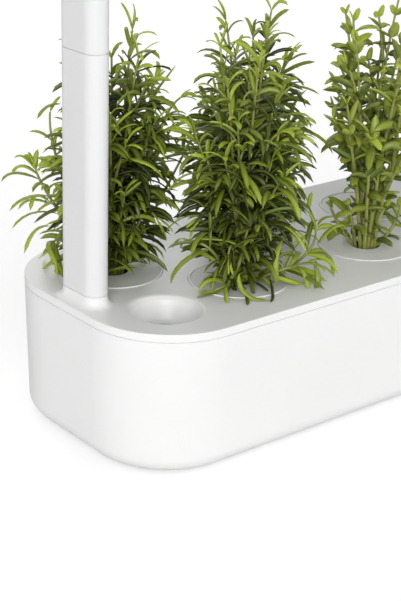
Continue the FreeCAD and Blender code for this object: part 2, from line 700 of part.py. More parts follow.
def soil_plug(number, x, y):
    """The growing medium in the pod, and under it the wick that reaches down into the water."""
    body = new_body(f"soil_plug_{number}")
    place(body, x, y)
    top = lid_top - D["soil_drop"]
    foot = lid_top - D["pod_depth"] + D["pod_wall"]
    gap = D["soil_gap"]
    taper = (D["pod_radius"] - D["pod_foot_radius"]) / (D["pod_depth"] - D["pod_plate"])
    top_radius = D["pod_radius"] - D["pod_wall"] - taper * (D["soil_drop"] - D["pod_plate"]) - gap
    wick_end = tank_foot + D["tank_floor"] + D["wick_clear"]
    profile = new_sketch(body, "soil_profile", role="XZ_Plane")
    closed_outline(profile, [
        (0, top), (top_radius, top), (D["pod_foot_radius"] - D["pod_wall"] - gap, foot),
        (0, foot)], tag="soil")
    closed_outline(profile, [
        (0, foot - gap), (D["wick_radius"], foot - gap), (D["wick_radius"], wick_end),
        (0, wick_end)], tag="wick")
    revolve(body, profile)


def hollow_post(label, foot, height, x):
    """A post section: a round-ended tube with a narrower tongue that plugs into what is below."""
    body = new_body(label)
    place(body, x)
    outside = new_sketch(body, "post_outside", foot)
    stadium(outside, D["post_length"], D["post_thick"])
    pad(body, outside, height)
    slip = (D["post_wall"] + D["tongue_gap"]) * 2
    tongue = new_sketch(body, "tongue_outside", foot)
    stadium(tongue, D["post_length"] - slip, D["post_thick"] - slip)
    pad(body, tongue, D["tongue_length"], down=True)
    socket = new_sketch(body, "post_socket", foot + height)
    stadium(socket, D["post_length"] - D["post_wall"] * 2, D["post_thick"] - D["post_wall"] * 2)
    pocket(body, socket, height - D["tongue_neck"])
    bore = new_sketch(body, "tongue_bore", foot - D["tongue_length"])
    narrow = slip + D["tongue_wall"] * 2
    stadium(bore, D["post_length"] - narrow, D["post_thick"] - narrow)
    pocket(body, bore, D["tongue_length"] + D["tongue_neck"] * 2, up=True)
    seam = new_sketch(body, "foot_seam", foot)
    stadium(seam, D["post_length"] + D["seam_depth"] * 2, D["post_thick"] + D["seam_depth"] * 2, tag="outer")
    stadium(seam, D["post_length"] - D["seam_depth"] * 2, D["post_thick"] - D["seam_depth"] * 2, tag="inner")
    pocket(body, seam, D["seam_height"], up=True)
    return body


def inlet_hole(body):
    """The hole in a post's rear face that the power inlet sits in."""
    level = collar_top + D["inlet_height"]
    hole = new_sketch(body, "inlet_hole", role="XZ_Plane", at=(None, level))
    circle(hole, D["inlet_radius"] + D["tongue_gap"])
    pocket(body, hole, D["post_length"])


def power_inlet():
    """The round socket for the mains adapter's plug, with its centre pin, in the left post's rear."""
    body = new_body("power_inlet")
    place(body, -post_x)
    level = collar_top + D["inlet_height"]
    face = D["post_length"] / 2 + D["inlet_proud"]
    barrel = new_sketch(body, "inlet_barrel", -face, "XZ_Plane", (None, level))
    circle(barrel, D["inlet_radius"])
    pad(body, barrel, D["inlet_length"])
    bore = new_sketch(body, "inlet_plug_hole", -face, "XZ_Plane", (None, level))
    circle(bore, D["inlet_bore"])
    pocket(body, bore, D["inlet_bore_depth"], up=True)
    way = new_sketch(body, "inlet_pin_way", -face, "XZ_Plane", (None, level))
    circle(way, D["inlet_pin"] + D["inlet_pin_gap"])
    pocket(body, way, D["inlet_length"] * 2, up=True)
    pin = new_sketch(body, "inlet_pin", D["inlet_pin_sink"] - face, "XZ_Plane", (None, level))
    circle(pin, D["inlet_pin"])
    pad(body, pin, D["inlet_length"] - D["inlet_pin_sink"])


def contact_strip(label, offset, foot, top):
    """A flat conductor that stands against a flat wall inside the left post."""
    body = new_body(label)
    place(body, -post_x)
    sketch = new_sketch(body, f"{label}_section", foot)
    half = D["strip_width"] / 2
    closed_outline(sketch, [
        (-offset, -half), (-offset + D["strip_plate"], -half),
        (-offset + D["strip_plate"], half), (-offset, half)])
    pad(body, sketch, top - foot)


def contact_strips():
    """The conductors that take the power from the inlet up to the lamp."""
    socket_wall = D["post_thick"] / 2 - D["post_wall"]
    contact_strip("contact_strip_lower", socket_wall, collar_top + D["inlet_height"] - D["inlet_radius"],
                  joint_level - D["tongue_length"] - D["strip_clear"])
    bore_wall = socket_wall - D["tongue_gap"] - D["tongue_wall"]
    contact_strip("contact_strip_upper", bore_wall, joint_level - D["tongue_length"],
                  lamp_foot - D["tongue_length"] - D["strip_clear"])


def lamp_plan(sketch, inset, tag="lamp"):
    """The lamp's plan outline, drawn in by an inset."""
    rounded_rectangle(sketch, D["garden_length"] - inset * 2, D["lamp_width"] - inset * 2,
                      D["lamp_width"] / 2 - 0.5 - inset, tag=tag)


def lamp_housing():
    """The lamp's top shell, with screw bosses and the two tongues that plug into the posts."""
    body = new_body("lamp_housing")
    outside = new_sketch(body, "lamp_outside", lamp_foot)
    lamp_plan(outside, as_dim(0))
    block = pad(body, outside, D["lamp_height"])
    round_edges(body, block, lambda e: flat_at(e, lamp_top.number), D["lamp_round"])
    inside = new_sketch(body, "lamp_inside", lamp_foot)
    lamp_plan(inside, D["lamp_wall"])
    pocket(body, inside, D["lamp_height"] - D["lamp_roof"], up=True)
    post_block = new_sketch(body, "post_block", lamp_foot, at=(post_x, None))
    stadium(post_block, D["post_length"], D["post_thick"])
    mirror_x(body, pad(body, post_block, D["lamp_height"] - D["lamp_roof"] / 2))
    slip = (D["post_wall"] + D["tongue_gap"]) * 2
    tongue = new_sketch(body, "lamp_tongue", lamp_foot, at=(post_x, None))
    stadium(tongue, D["post_length"] - slip, D["post_thick"] - slip)
    mirror_x(body, pad(body, tongue, D["tongue_length"], down=True))
    frame_top = lamp_foot + D["frame_plate"]
    bosses = new_sketch(body, "screw_bosses", frame_top)
    screw_circles(bosses, D["boss_radius"])
    pad(body, bosses, lamp_top - D["lamp_roof"] / 2 - frame_top)
    pilots = new_sketch(body, "screw_pilots", frame_top)
    screw_circles(pilots, D["screw_radius"] + D["screw_gap"])
    pocket(body, pilots, D["screw_length"], up=True)


def screw_circles(sketch, radius):
    """The six places of the lamp's screws, three along each side of the lens."""
    reach = D["garden_length"] / 2 - D["lamp_width"] / 2
    y = D["lamp_width"] / 2 - D["screw_inset"]
    for i, (along, side) in enumerate((a, s) for a in (-1, 0, 1) for s in (-1, 1)):
        circle(sketch, radius, reach * along, y * side, tag=f"screw{i}")


def lamp_frame():
    """The frame that closes the housing round the lens."""
    body = new_body("lamp_frame")
    outside = new_sketch(body, "frame_outside", lamp_foot)
    lamp_plan(outside, D["lamp_wall"] + D["lens_gap"])
    pad(body, outside, D["frame_plate"])
    opening = new_sketch(body, "frame_opening", lamp_foot + D["frame_plate"])
    border = D["lens_border"]
    end_border = D["post_inset"] + D["post_thick"] / 2 + border
    rounded_rectangle(opening, D["garden_length"] - end_border * 2, D["lamp_width"] - border * 2, border)
    pocket(body, opening, D["frame_plate"] + 1)
    clear = new_sketch(body, "frame_post_way", lamp_foot + D["frame_plate"], at=(post_x, None))
    stadium(clear, D["post_length"] + D["lens_gap"] * 2, D["post_thick"] + D["lens_gap"] * 2)
    mirror_x(body, pocket(body, clear, D["frame_plate"] + 1))
    heads = new_sketch(body, "screw_seats", lamp_foot)
    screw_circles(heads, D["screw_head_radius"] + D["screw_gap"])
    pocket(body, heads, D["screw_head_height"], up=True)
    shanks = new_sketch(body, "screw_ways", lamp_foot)
    screw_circles(shanks, D["screw_radius"] + D["screw_gap"])
    pocket(body, shanks, D["frame_plate"] + 1, up=True)


def lamp_lens():
    """The frosted panel under the LEDs, with a ledge that rests in the frame."""
    body = new_body("lamp_lens")
    border = D["lens_border"]
    end_border = D["post_inset"] + D["post_thick"] / 2 + border
    ledge = D["lens_ledge"]
    face = new_sketch(body, "lens_face", lamp_foot + D["lens_sink"])
    gap = D["lens_gap"]
    rounded_rectangle(face, D["garden_length"] - (end_border + gap) * 2, D["lamp_width"] - (border + gap) * 2,
                      border - gap)
    pad(body, face, D["frame_plate"] - D["lens_sink"])
    flange = new_sketch(body, "lens_flange", lamp_foot + D["frame_plate"])
    rounded_rectangle(flange, D["garden_length"] - (end_border - ledge) * 2,
                      D["lamp_width"] - (border - ledge) * 2, border + ledge)
    pad(body, flange, D["lens_plate"])


def led_board():
    """The aluminium board that carries the LEDs, hung from the housing's roof by a spine."""
    body = new_body("led_board")
    plate = new_sketch(body, "board_plate", board_level)
    rounded_rectangle(plate, D["board_length"], D["board_width"], D["spine_width"] / 3)
    pad(body, plate, D["board_plate"])
    board_top = board_level + D["board_plate"]
    spine = new_sketch(body, "board_spine", board_top)
    rounded_rectangle(spine, D["board_length"] - D["spine_inset"] * 2, D["spine_width"], D["spine_width"] / 3)
    pad(body, spine, lamp_top - D["lamp_roof"] - board_top)


def lamp_driver():
    """The small board with the lamp's driver and timer, on the LED board beside its rib."""
    body = new_body("lamp_driver")
    place(body, y=(D["spine_width"] + D["driver_width"]) / 2 + D["lens_gap"])
    block = new_sketch(body, "driver_block", board_level + D["board_plate"])
    rounded_rectangle(block, D["driver_length"], D["driver_width"], D["spine_width"] / 8)
    pad(body, block, D["driver_height"])


def leds():
    """The LED packages under the board, one solid each."""
    body = doc.addObject("Part::Feature", "leds")
    body.Label = "leds"
    size, height = D["led_size"].number, D["led_height"].number
    pitch, row_pitch = D["led_pitch"].number, D["led_row_pitch"].number
    columns, rows = D["led_columns"].count(), D["led_rows"].count()
    boxes = []
    for column in range(columns):
        for row in range(rows):
            x = (column - (columns - 1) / 2) * pitch - size / 2
            y = (row - (rows - 1) / 2) * row_pitch - size / 2
            corner = FreeCAD.Vector(x, y, board_level.number - height)
            boxes.append(Part.makeBox(size, size, height, corner))
    body.Shape = Part.makeCompound(boxes)


def lamp_screws():
    """The screws that hold the frame to the housing, sunk in the frame's underside."""
    body = new_body("lamp_screws")
    heads = new_sketch(body, "screw_heads", lamp_foot)
    screw_circles(heads, D["screw_head_radius"])
    pad(body, heads, D["screw_head_height"])
    shanks = new_sketch(body, "screw_shanks", lamp_foot + D["screw_head_height"])
    screw_circles(shanks, D["screw_radius"])
    pad(body, shanks, D["screw_length"])


def polygon(level, radius, sides):
    """A regular polygon at a level, as a closed wire."""
    corners = []
    for i in range(sides + 1):
        a = 2 * math.pi * i / sides
        corners.append(FreeCAD.Vector(radius * math.cos(a), radius * math.sin(a), level))
    return Part.makePolygon(corners)


def plant(number, x, y):
    """A herb as one plain solid: stems in the pod's hole and a full bush that narrows upwards."""
    feature = doc.addObject("Part::Feature", f"plant_{number}")
    feature.Label = f"plant_{number}"
    height, reach = D["plant_height"].number, D["plant_reach"].number
    neck, soil = D["plant_neck"].number, D["soil_drop"].number
    rings = [(-soil, neck * 0.8), (height * 0.02, neck)]
    rings += [(height * share, reach * swell) for share, swell in PLANT_SWELL]
    wires = [polygon(level, radius, PLANT_SIDES) for level, radius in rings]
    feature.Shape = Part.makeLoft(wires, True, True)
    foot = FreeCAD.Vector(x.number, y.number, lid_top.number)
    feature.Placement = FreeCAD.Placement(foot, FreeCAD.Rotation())


def build():
    """Makes every piece."""
    water_tank()
    rubber_feet()
    lid()
    float_cage()
    water_float()
    for number, x, y in cup_places():
        cup(number, x, y)
        pod(number, x, y)
        soil_plug(number, x, y)
        plant(number, x, y)
    left = hollow_post("post_left", collar_top, D["post_height"], -post_x)
    inlet_hole(left)
    hollow_post("post_right", collar_top, D["post_height"], post_x)
    hollow_post("extension_left", joint_level, D["extension_height"], -post_x)
    hollow_post("extension_right", joint_level, D["extension_height"], post_x)
    power_inlet()
    contact_strips()
    lamp_housing()
    lamp_frame()
    lamp_lens()
    led_board()
    lamp_driver()
    leds()
    lamp_screws()


def check_and_write():
    """Stops on any failed object, then writes each piece to its own file."""
    doc.recompute()
    for item in doc.Objects:
        if "Invalid" in item.State or "Error" in item.State:
            raise RuntimeError(f"{item.Name} failed: {item.State}")
    os.makedirs("parts", exist_ok=True)
    pieces = [o for o in doc.Objects if o.TypeId in ("PartDesign::Body", "Part::Feature")]
    for piece in pieces:
        shape = piece.Shape
        if shape.isNull() or not shape.isValid() or not shape.Solids:
            raise RuntimeError(f"{piece.Label} has no valid solid")
    for piece in pieces:
        piece.Shape.exportStep(f"parts/{piece.Label}.step")


build()
check_and_write()
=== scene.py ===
import math

import bpy
import numpy as np
from mathutils import Matrix, Vector


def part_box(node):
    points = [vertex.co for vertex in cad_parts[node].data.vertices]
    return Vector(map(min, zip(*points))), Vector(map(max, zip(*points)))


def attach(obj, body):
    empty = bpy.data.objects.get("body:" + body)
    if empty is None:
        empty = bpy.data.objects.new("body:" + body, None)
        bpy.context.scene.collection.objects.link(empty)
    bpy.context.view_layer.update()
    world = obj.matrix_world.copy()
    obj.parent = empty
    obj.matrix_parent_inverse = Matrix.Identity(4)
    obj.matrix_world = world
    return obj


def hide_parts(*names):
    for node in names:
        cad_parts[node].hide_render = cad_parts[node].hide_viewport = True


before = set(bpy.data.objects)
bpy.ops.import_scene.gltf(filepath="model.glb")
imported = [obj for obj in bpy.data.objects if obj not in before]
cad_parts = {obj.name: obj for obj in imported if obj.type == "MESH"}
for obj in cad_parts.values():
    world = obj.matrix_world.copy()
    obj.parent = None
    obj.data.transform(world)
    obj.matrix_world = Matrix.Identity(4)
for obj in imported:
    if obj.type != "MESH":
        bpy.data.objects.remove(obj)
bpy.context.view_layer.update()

MM = 0.001

# The photograph's camera: it looks at the left front corner, a little from above
CAMERA_AZIMUTH = math.radians(-39.566)
CAMERA_ELEVATION = math.radians(22.435)
CAMERA_ROLL = math.radians(1.755)
CAMERA_DISTANCE = 1.0713
CAMERA_TARGET = Vector((-0.1902, -0.0005, 0.08))
CAMERA_LENS = 90.9
SENSOR_WIDTH = 36
PICTURE_WIDTH = 401
PICTURE_HEIGHT = 601

# The studio's greys: its sides are brighter than its roof, and they blend between these heights
STUDIO_SIDES = (0.62, 0.62, 0.62)
STUDIO_ROOF = (0.36, 0.36, 0.36)
STUDIO_BLEND = (0.25, 0.8)

# What the floor adds for the camera, and how far out its fade to white starts and ends
FLOOR_LIFT = 0.39
FADE_START = 0.7
FADE_END = 1.5

LID_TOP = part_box("pod_1")[1].z
CUPS = range(1, 10)
POSTS = ("post_left", "post_right", "extension_left", "extension_right")


def camera_axes():
    """The camera's right, up and back directions, with its roll."""
    a, e = CAMERA_AZIMUTH, CAMERA_ELEVATION
    back = Vector((math.sin(a) * math.cos(e), -math.cos(a) * math.cos(e), math.sin(e)))
    right = Vector((math.cos(a), math.sin(a), 0))
    up = back.cross(right)
    turn = Matrix.Rotation(CAMERA_ROLL, 3, back)
    return turn @ right, turn @ up, back


def seen_at(x, y, centre, forward):
    """The point at x, y of the picture, as far off as a point forward mm in front of centre."""
    right, up, back = camera_axes()
    eye = CAMERA_TARGET + back * CAMERA_DISTANCE
    focus = CAMERA_LENS / SENSOR_WIDTH * PICTURE_HEIGHT
    ray = right * (x - PICTURE_WIDTH / 2) - up * (y - PICTURE_HEIGHT / 2) - back * focus
    near = Vector(centre) + Vector((back.x, back.y, 0)).normalized() * forward * MM
    return np.array(eye + ray * ((near - eye).dot(back) / ray.dot(back)))


def make_camera():
    """The camera at the photograph's viewing angle."""
    right, up, back = camera_axes()
    data = bpy.data.cameras.new("camera")
    data.lens = CAMERA_LENS
    data.sensor_width = SENSOR_WIDTH
    camera = bpy.data.objects.new("camera", data)
    bpy.context.scene.collection.objects.link(camera)
    turn = Matrix((right, up, back)).transposed().to_4x4()
    camera.matrix_world = Matrix.Translation(CAMERA_TARGET + back * CAMERA_DISTANCE) @ turn
    bpy.context.scene.camera = camera


def area_light(name, place, target, size, power):
    """A square soft light at a place, aimed at a target."""
    data = bpy.data.lights.new(name, "AREA")
    data.shape = "SQUARE"
    data.size = size
    data.energy = power
    light = bpy.data.objects.new(name, data)
    bpy.context.scene.collection.objects.link(light)
    light.location = place
    aim = Vector(target) - Vector(place)
    light.rotation_euler = aim.to_track_quat("-Z", "Y").to_euler()


def make_lights():
    """A large soft key from the left front, and weaker lights from the right front and behind."""
    area_light("key", (-1.75, -1.75, 0.95), (0, 0, 0.12), 1.5, 36)
    area_light("fill", (1.6, -1.2, 1.0), (0, 0, 0.1), 1.4, 12)
    area_light("back", (0.6, 1.9, 1.3), (0, 0, 0.1), 1.4, 12)


def new_material(name):
    """A node material with its shader; returns the material, its tree and the shader."""
    material = bpy.data.materials.new(name)
    material.use_nodes = True
    tree = material.node_tree
    return material, tree, tree.nodes["Principled BSDF"]


def make_world():
    """White where the camera looks, and a soft studio whose sides are brighter than its roof."""
    world = bpy.data.worlds.new("studio")
    bpy.context.scene.world = world
    world.use_nodes = True
    tree = world.node_tree
    tree.nodes.clear()
    out = tree.nodes.new("ShaderNodeOutputWorld")
    coords = tree.nodes.new("ShaderNodeTexCoord")
    split = tree.nodes.new("ShaderNodeSeparateXYZ")
    tree.links.new(coords.outputs["Generated"], split.inputs[0])
    ramp = ramp_between(tree, split.outputs["Z"], STUDIO_SIDES, STUDIO_ROOF, *STUDIO_BLEND)
    studio = tree.nodes.new("ShaderNodeBackground")
    tree.links.new(ramp.outputs[0], studio.inputs[0])
    white = tree.nodes.new("ShaderNodeBackground")
    white.inputs[0].default_value = (1, 1, 1, 1)
    rays = tree.nodes.new("ShaderNodeLightPath")
    seen = tree.nodes.new("ShaderNodeMath")
    seen.operation = "MAXIMUM"
    tree.links.new(rays.outputs["Is Camera Ray"], seen.inputs[0])
    tree.links.new(rays.outputs["Is Transmission Ray"], seen.inputs[1])
    mix = tree.nodes.new("ShaderNodeMixShader")
    tree.links.new(seen.outputs[0], mix.inputs[0])
    tree.links.new(studio.outputs[0], mix.inputs[1])
    tree.links.new(white.outputs[0], mix.inputs[2])
    tree.links.new(mix.outputs[0], out.inputs[0])


def make_floor():
    """A pale floor that keeps the object's shadow and fades to white away from it."""
    bpy.ops.mesh.primitive_plane_add(size=14)
    floor = bpy.context.object
    floor.name = "studio_floor"
    material, tree, shader = new_material("floor_white")
    shader.inputs["Base Color"].default_value = (0.82, 0.82, 0.82, 1)
    shader.inputs["Roughness"].default_value = 1
    shader.inputs["Specular IOR Level"].default_value = 0
    glow = tree.nodes.new("ShaderNodeEmission")
    rays = tree.nodes.new("ShaderNodeLightPath")
    lift = tree.nodes.new("ShaderNodeMath")
    lift.operation = "MULTIPLY"
    lift.inputs[1].default_value = FLOOR_LIFT
    tree.links.new(rays.outputs["Is Camera Ray"], lift.inputs[0])
    tree.links.new(lift.outputs[0], glow.inputs["Strength"])
    both = tree.nodes.new("ShaderNodeAddShader")
    tree.links.new(shader.outputs[0], both.inputs[0])
    tree.links.new(glow.outputs[0], both.inputs[1])
    white = tree.nodes.new("ShaderNodeEmission")
    place = tree.nodes.new("ShaderNodeTexCoord")
    length = tree.nodes.new("ShaderNodeVectorMath")
    length.operation = "LENGTH"
    tree.links.new(place.outputs["Object"], length.inputs[0])
    away = tree.nodes.new("ShaderNodeMapRange")
    away.inputs["From Min"].default_value = FADE_START
    away.inputs["From Max"].default_value = FADE_END
    tree.links.new(length.outputs["Value"], away.inputs["Value"])
    fade = tree.nodes.new("ShaderNodeMath")
    fade.operation = "MULTIPLY"
    tree.links.new(away.outputs[0], fade.inputs[0])
    tree.links.new(rays.outputs["Is Camera Ray"], fade.inputs[1])
    mix = tree.nodes.new("ShaderNodeMixShader")
    tree.links.new(fade.outputs[0], mix.inputs[0])
    tree.links.new(both.outputs[0], mix.inputs[1])
    tree.links.new(white.outputs[0], mix.inputs[2])
    tree.links.new(mix.outputs[0], tree.nodes["Material Output"].inputs["Surface"])
    floor.data.materials.append(material)


def add_noise(tree, scale, detail, stretch=None):
    """A noise texture in the object's own space, drawn out along an axis where stretch says so."""
    place = tree.nodes.new("ShaderNodeTexCoord").outputs["Object"]
    if stretch:
        mapping = tree.nodes.new("ShaderNodeMapping")
        mapping.inputs["Scale"].default_value = stretch
        tree.links.new(place, mapping.inputs["Vector"])
        place = mapping.outputs[0]
    noise = tree.nodes.new("ShaderNodeTexNoise")
    noise.inputs["Scale"].default_value = scale
    noise.inputs["Detail"].default_value = detail
    tree.links.new(place, noise.inputs["Vector"])
    return noise


def ramp_between(tree, source, low, high, start=0.3, end=0.7):
    """A colour ramp from low to high, driven by a source socket."""
    ramp = tree.nodes.new("ShaderNodeValToRGB")
    ramp.color_ramp.elements[0].position = start
    ramp.color_ramp.elements[0].color = (*low, 1)
    ramp.color_ramp.elements[1].position = end
    ramp.color_ramp.elements[1].color = (*high, 1)
    tree.links.new(source, ramp.inputs[0])
    return ramp


def add_bump(tree, shader, source, strength, distance):
    """A bump from a source socket."""
    bump = tree.nodes.new("ShaderNodeBump")
    bump.inputs["Strength"].default_value = strength
    bump.inputs["Distance"].default_value = distance
    tree.links.new(source, bump.inputs["Height"])
    tree.links.new(bump.outputs[0], shader.inputs["Normal"])


def moulded_plastic(name, colour, roughness, spread=0.02, grain=2600, bump=0.04):
    """Moulded plastic: a fine spark-eroded grain and a faint drift of tone and gloss."""
    material, tree, shader = new_material(name)
    drift = add_noise(tree, 9, 2)
    low = tuple(max(0, c - spread) for c in colour)
    high = tuple(min(1, c + spread) for c in colour)
    tint = ramp_between(tree, drift.outputs["Fac"], low, high)
    tree.links.new(tint.outputs[0], shader.inputs["Base Color"])
    gloss = tree.nodes.new("ShaderNodeMapRange")
    gloss.inputs["To Min"].default_value = roughness - 0.04
    gloss.inputs["To Max"].default_value = roughness + 0.04
    tree.links.new(drift.outputs["Fac"], gloss.inputs["Value"])
    tree.links.new(gloss.outputs[0], shader.inputs["Roughness"])
    shader.inputs["IOR"].default_value = 1.5
    fine = add_noise(tree, grain, 2)
    add_bump(tree, shader, fine.outputs["Fac"], bump, 0.0002)
    return material


def metal(name, colour, roughness):
    """Bare metal with fine drawn lines."""
    material, tree, shader = new_material(name)
    lines = add_noise(tree, 300, 2, stretch=(0.05, 1, 1))
    tint = ramp_between(tree, lines.outputs["Fac"], tuple(c * 0.88 for c in colour), colour)
    tree.links.new(tint.outputs[0], shader.inputs["Base Color"])
    shader.inputs["Metallic"].default_value = 1
    shader.inputs["Roughness"].default_value = roughness
    add_bump(tree, shader, lines.outputs["Fac"], 0.1, 0.0001)
    return material


def frosted_lens(name):
    """Frosted diffuser plastic: pale, a little translucent, with a fine prism grain."""
    material, tree, shader = new_material(name)
    grain = add_noise(tree, 1500, 2)
    tint = ramp_between(tree, grain.outputs["Fac"], (0.84, 0.85, 0.85), (0.93, 0.93, 0.92))
    tree.links.new(tint.outputs[0], shader.inputs["Base Color"])
    shader.inputs["Roughness"].default_value = 0.45
    shader.inputs["Transmission Weight"].default_value = 0.25
    add_bump(tree, shader, grain.outputs["Fac"], 0.2, 0.0003)
    return material


def soil_material():
    """Damp dark growing medium with paler fibres."""
    material, tree, shader = new_material("growing_medium")
    crumbs = add_noise(tree, 700, 6)
    tint = ramp_between(tree, crumbs.outputs["Fac"], (0.012, 0.008, 0.005), (0.09, 0.055, 0.032), 0.4, 0.75)
    tree.links.new(tint.outputs[0], shader.inputs["Base Color"])
    shader.inputs["Roughness"].default_value = 0.9
    add_bump(tree, shader, crumbs.outputs["Fac"], 0.9, 0.0015)
    return material


def leaf_material(name, deep, fresh, under):
    """Leaf skin: deep to fresh green by leaf, where the deep green of leaves inside a bush is painted shade,
    paler below, glossy, and lit through a little.
    """
    material, tree, shader = new_material(name)
    tint = tree.nodes.new("ShaderNodeAttribute")
    tint.attribute_name = "tint"
    parts = tree.nodes.new("ShaderNodeSeparateColor")
    tree.links.new(tint.outputs["Color"], parts.inputs[0])
    skin = ramp_between(tree, parts.outputs["Red"], deep, fresh, 0.0, 1.0)
    fine = add_noise(tree, 420, 3)
    mottle = tree.nodes.new("ShaderNodeMix")
    mottle.data_type = "RGBA"
    mottle.blend_type = "MULTIPLY"
    mottle.inputs["Factor"].default_value = 0.35
    tree.links.new(skin.outputs[0], mottle.inputs["A"])
    shade = ramp_between(tree, fine.outputs["Fac"], (0.62, 0.62, 0.62), (1, 1, 1), 0.3, 0.65)
    tree.links.new(shade.outputs[0], mottle.inputs["B"])
    both = tree.nodes.new("ShaderNodeMix")
    both.data_type = "RGBA"
    tree.links.new(parts.outputs["Green"], both.inputs["Factor"])
    tree.links.new(mottle.outputs["Result"], both.inputs["A"])
    both.inputs["B"].default_value = (*under, 1)
    tree.links.new(both.outputs["Result"], shader.inputs["Base Color"])
    shader.inputs["Roughness"].default_value = 0.36
    shader.inputs["Specular IOR Level"].default_value = 0.5
    add_bump(tree, shader, fine.outputs["Fac"], 0.25, 0.0004)
    through = tree.nodes.new("ShaderNodeBsdfTranslucent")
    tree.links.new(both.outputs["Result"], through.inputs["Color"])
    blend = tree.nodes.new("ShaderNodeMixShader")
    blend.inputs[0].default_value = 0.22
    tree.links.new(shader.outputs[0], blend.inputs[1])
    tree.links.new(through.outputs[0], blend.inputs[2])
    tree.links.new(blend.outputs[0], tree.nodes["Material Output"].inputs["Surface"])
    return material


def dress_nodes():
    """Gives every CAD node its material."""
    white = moulded_plastic("white_shell", (0.87, 0.87, 0.865), 0.34, 0.012)
    post = moulded_plastic("post_white", (0.78, 0.78, 0.785), 0.36, 0.012)
    ring = moulded_plastic("cup_white", (0.9, 0.9, 0.895), 0.3, 0.01)
    # The pod discs are matte, and their light grey is partly painted shade on their upward faces
    disc = moulded_plastic("pod_disc", (0.8, 0.8, 0.785), 0.55, 0.02, 1400, 0.1)
    clear = moulded_plastic("guide_plastic", (0.75, 0.77, 0.78), 0.3, 0.02)
    blue = moulded_plastic("float_blue", (0.1, 0.28, 0.6), 0.3, 0.02)
    rubber = moulded_plastic("rubber_grey", (0.42, 0.42, 0.41), 0.75, 0.03, 900, 0.2)
    black = moulded_plastic("inlet_black", (0.025, 0.025, 0.028), 0.35, 0.006)
    green = moulded_plastic("circuit_green", (0.03, 0.16, 0.07), 0.4, 0.02)
    amber = moulded_plastic("led_amber", (0.86, 0.72, 0.28), 0.25, 0.05)
    materials = {
        "rubber_feet": rubber, "float_cage": clear, "float": blue, "power_inlet": black,
        "contact_strip_lower": metal("strip_copper", (0.85, 0.55, 0.35), 0.3),
        "contact_strip_upper": metal("strip_copper_upper", (0.85, 0.55, 0.35), 0.3),
        "lamp_lens": frosted_lens("lens_frost"),
        "led_board": metal("board_aluminium", (0.82, 0.83, 0.85), 0.35),
        "lamp_driver": green, "leds": amber,
        "lamp_screws": metal("screw_steel", (0.6, 0.6, 0.62), 0.3),
    }
    for name in POSTS:
        materials[name] = post
    for n in CUPS:
        materials[f"cup_{n}"] = ring
        materials[f"pod_{n}"] = disc
    for name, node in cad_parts.items():
        node.data.materials.clear()
        node.data.materials.append(materials.get(name, white))


# Section of a leaf in half widths: the edges roll down and a groove runs along the top
LEAF_SECTION = np.array([(-1, -0.1), (-0.62, 0.34), (0, 0.16), (0.62, 0.34), (1, -0.1), (0, -0.22)])
# The ring along the midrib, which is painted paler as a highlight, and the underside's ring
MIDRIB_SHEEN = 2
UNDERSIDE = 5
LEAF_RINGS = 8
STEM_SIDES = 6
STEM_POINTS = 16

# A leaf's half width at its stalk and its last point, and where along it is widest
STALK = 0.16
LAST_POINT = 0.02
WIDEST_AT = 0.3


def leaf_width(t, round_tip):
    """Half width along a leaf: a short stalk, near-parallel sides and a blunt tip."""
    rise = np.clip(t / WIDEST_AT, 0, 1) ** 0.6
    fall = np.clip(1 - t ** round_tip, 0, 1) ** 0.55
    return STALK + (1 - STALK) * rise * fall - (STALK - LAST_POINT) * (t == 1)


def grown_paths(leaves):
    """Each leaf's midrib with its side and top directions, from its angles and length."""
    t = np.linspace(0, 1, LEAF_RINGS)
    rise = leaves["rise"][:, None] - leaves["bend"][:, None] * t ** 1.4
    heading = leaves["heading"][:, None] + leaves["sweep"][:, None] * t
    along = np.stack([np.cos(rise) * np.cos(heading), np.cos(rise) * np.sin(heading), np.sin(rise)], -1)
    side = np.stack([-np.sin(heading), np.cos(heading), np.zeros_like(heading)], -1)
    top = np.cross(along, side)
    roll = leaves["roll"][:, None, None]
    side, top = side * np.cos(roll) + top * np.sin(roll), top * np.cos(roll) - side * np.sin(roll)
    steps = (along[:, 1:] + along[:, :-1]) / 2 * (leaves["length"] / (LEAF_RINGS - 1))[:, None, None]
    path = leaves["base"][:, None] + np.concatenate([np.zeros_like(steps[:, :1]), np.cumsum(steps, 1)], 1)
    return path, side, top


def traced_paths(curves):
    """The same for leaves whose midrib is known: each goes through base, middle and tip."""
    path = np.stack([path_through(*curve, LEAF_RINGS) for curve in curves])
    along = np.gradient(path, axis=1)
    along /= np.linalg.norm(along, axis=-1, keepdims=True)
    side = np.cross((0, 0, 1), along)
    side /= np.linalg.norm(side, axis=-1, keepdims=True)
    return path, side, np.cross(along, side)


def leaf_skin(path, side, top, width, fresh, round_tip):
    """Points, faces and tints of all the leaves at once, round their midribs."""
    t = np.linspace(0, 1, LEAF_RINGS)
    half = width[:, None] / 2 * leaf_width(t, round_tip)
    points = path[:, :, None] + half[:, :, None, None] * (
        LEAF_SECTION[:, 0, None] * side[:, :, None] + LEAF_SECTION[:, 1, None] * top[:, :, None])
    count, sides = len(points), len(LEAF_SECTION)
    ring = np.arange(sides)
    after = (ring + 1) % sides
    level = np.arange(LEAF_RINGS - 1)[:, None] * sides
    quads = np.stack([level + ring, level + sides + ring, level + sides + after, level + after], -1)
    faces = quads.reshape(1, -1, 4) + (np.arange(count) * LEAF_RINGS * sides)[:, None, None]
    tint = np.zeros((count, LEAF_RINGS, sides, 2))
    # Leaves grow lighter towards the tip, and the midrib is painted paler: a painted highlight streak
    tint[..., 0] = fresh[:, None, None] + 0.2 * (t[None, :, None] - 0.5) + 0.2 * (ring == MIDRIB_SHEEN)
    tint[..., 0] = np.clip(tint[..., 0], 0, 1)
    tint[..., 1] = 0.75 * (ring == UNDERSIDE)
    return points.reshape(-1, 3), faces.reshape(-1, 4), tint.reshape(-1, 2)


